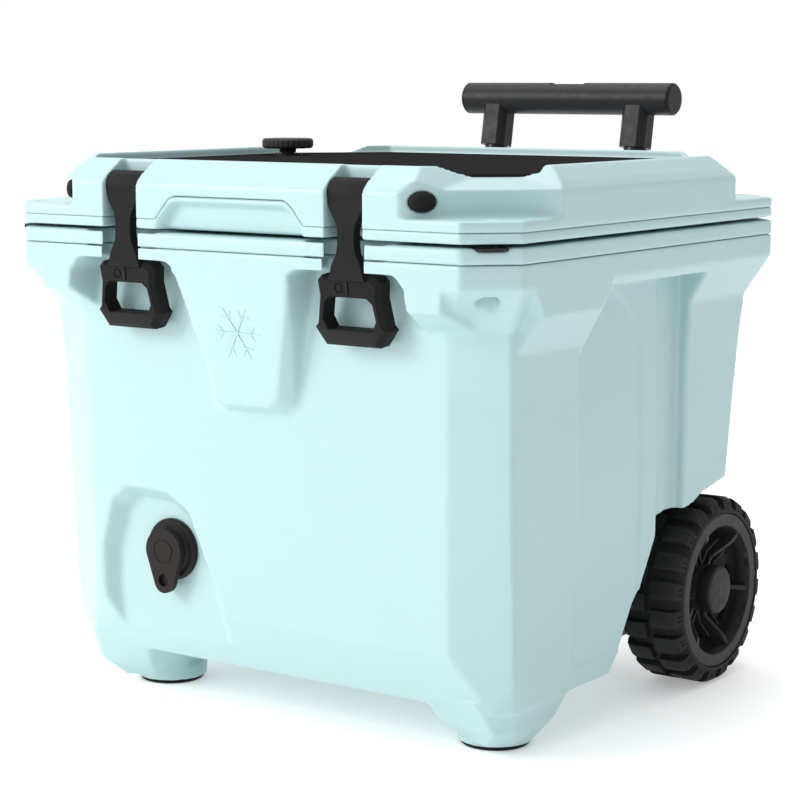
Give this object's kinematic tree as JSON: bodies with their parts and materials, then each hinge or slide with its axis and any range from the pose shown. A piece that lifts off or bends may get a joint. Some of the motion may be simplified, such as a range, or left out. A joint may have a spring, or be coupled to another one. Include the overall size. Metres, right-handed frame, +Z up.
{
  "type": "wheeled cooler",
  "caption": "Rotomoulded hard cooler on two rear wheels with a latched hinged lid, front feet, a drain and a telescoping pull handle.",
  "frame": {"origin": "centre of the bounding box on the floor, with the lid closed and the handle pushed in", "axes": "X to the right seen from the front, Y to the rear where the handle and wheels are, Z up"},
  "size_m": [0.52, 0.5442, 0.5405],
  "materials": {
    "shell": "semi-gloss moulded",
    "liner": "semi-gloss moulded",
    "foam": "cellular",
    "rubber": "matt",
    "black_plastic": "satin",
    "dark_plastic": "satin",
    "mat": "fine grain",
    "steel": "satin",
    "tube": "anodised",
    "black_tube": "satin",
    "tyre": "matt",
    "wheel": "satin"
  },
  "bodies": {
    "body": {"outer_shell": "shell", "inner_liner": "liner", "foam_core": "foam", "front_feet": "rubber", "lock_plates": "black_plastic", "body_leaves": "black_plastic", "hinge_pins": "steel", "drain_flange": "dark_plastic", "drain_seal": "rubber", "drain_nut": "black_plastic", "axle": "steel", "axle_brackets": "black_plastic", "outer_tubes": "tube", "tube_collars": "black_plastic", "upper_bracket": "black_plastic", "lower_bracket": "black_plastic", "bracket_screws": "steel"},
    "lid": {"lid_cover": "shell", "lid_base": "shell", "lid_foam": "foam", "lid_gasket": "rubber", "non_slip_mat": "mat", "corner_plugs": "rubber", "lid_leaves": "black_plastic", "latch_pins": "steel", "knob_socket": "black_plastic"},
    "latch_left": {"latch_left": "rubber"},
    "latch_right": {"latch_right": "rubber"},
    "knob": {"knob": "dark_plastic"},
    "drain_lever": {"drain_lever": "dark_plastic"},
    "wheel_left": {"wheel_left": "wheel", "tyre_left": "tyre", "hub_cap_left": "black_plastic"},
    "wheel_right": {"wheel_right": "wheel", "tyre_right": "tyre", "hub_cap_right": "black_plastic"},
    "middle_stage": {"middle_tubes": "tube"},
    "handle": {"inner_tubes": "black_tube", "grip_bar": "black_plastic", "grip_ends": "black_plastic", "grip_sleeves": "black_plastic", "button_seat": "black_plastic"},
    "release_button": {"release_button": "black_plastic"}
  },
  "joints": [
    {"name": "lid_hinge", "type": "hinge", "parent": "body", "child": "lid", "pos_m": [0, 0.21949, 0.43], "axis": [-1, 0, 0], "range_deg": [0, 50]},
    {"name": "latch_left_swing", "type": "hinge", "parent": "lid", "child": "latch_left", "pos_m": [-0.116, -0.25651, 0.457], "axis": [-1, 0, 0], "range_deg": [0, 140]},
    {"name": "latch_right_swing", "type": "hinge", "parent": "lid", "child": "latch_right", "pos_m": [0.116, -0.25651, 0.457], "axis": [-1, 0, 0], "range_deg": [0, 140]},
    {"name": "knob_turn", "type": "hinge", "parent": "lid", "child": "knob", "pos_m": [-0.188, 0.04649, 0.475], "axis": [0, 0, 1], "continuous": true},
    {"name": "drain_lever_turn", "type": "hinge", "parent": "body", "child": "drain_lever", "pos_m": [-0.1075, -0.22851, 0.141], "axis": [0, 1, 0], "range_deg": [0, 95]},
    {"name": "wheel_left_spin", "type": "hinge", "parent": "body", "child": "wheel_left", "pos_m": [-0.213, 0.13019, 0.085], "axis": [1, 0, 0], "continuous": true},
    {"name": "wheel_right_spin", "type": "hinge", "parent": "body", "child": "wheel_right", "pos_m": [0.213, 0.13019, 0.085], "axis": [1, 0, 0], "continuous": true},
    {"name": "handle_lower_slide", "type": "slide", "parent": "body", "child": "middle_stage", "axis": [0, 0.1736, 0.9848], "range_m": [0, 0.2]},
    {"name": "handle_upper_slide", "type": "slide", "parent": "middle_stage", "child": "handle", "axis": [0, 0.1736, 0.9848], "range_m": [0, 0.2]},
    {"name": "button_press", "type": "slide", "parent": "handle", "child": "release_button", "axis": [0, 0, -1], "range_m": [0, 0.003], "stiffness_N_per_m": 800}
  ]
}
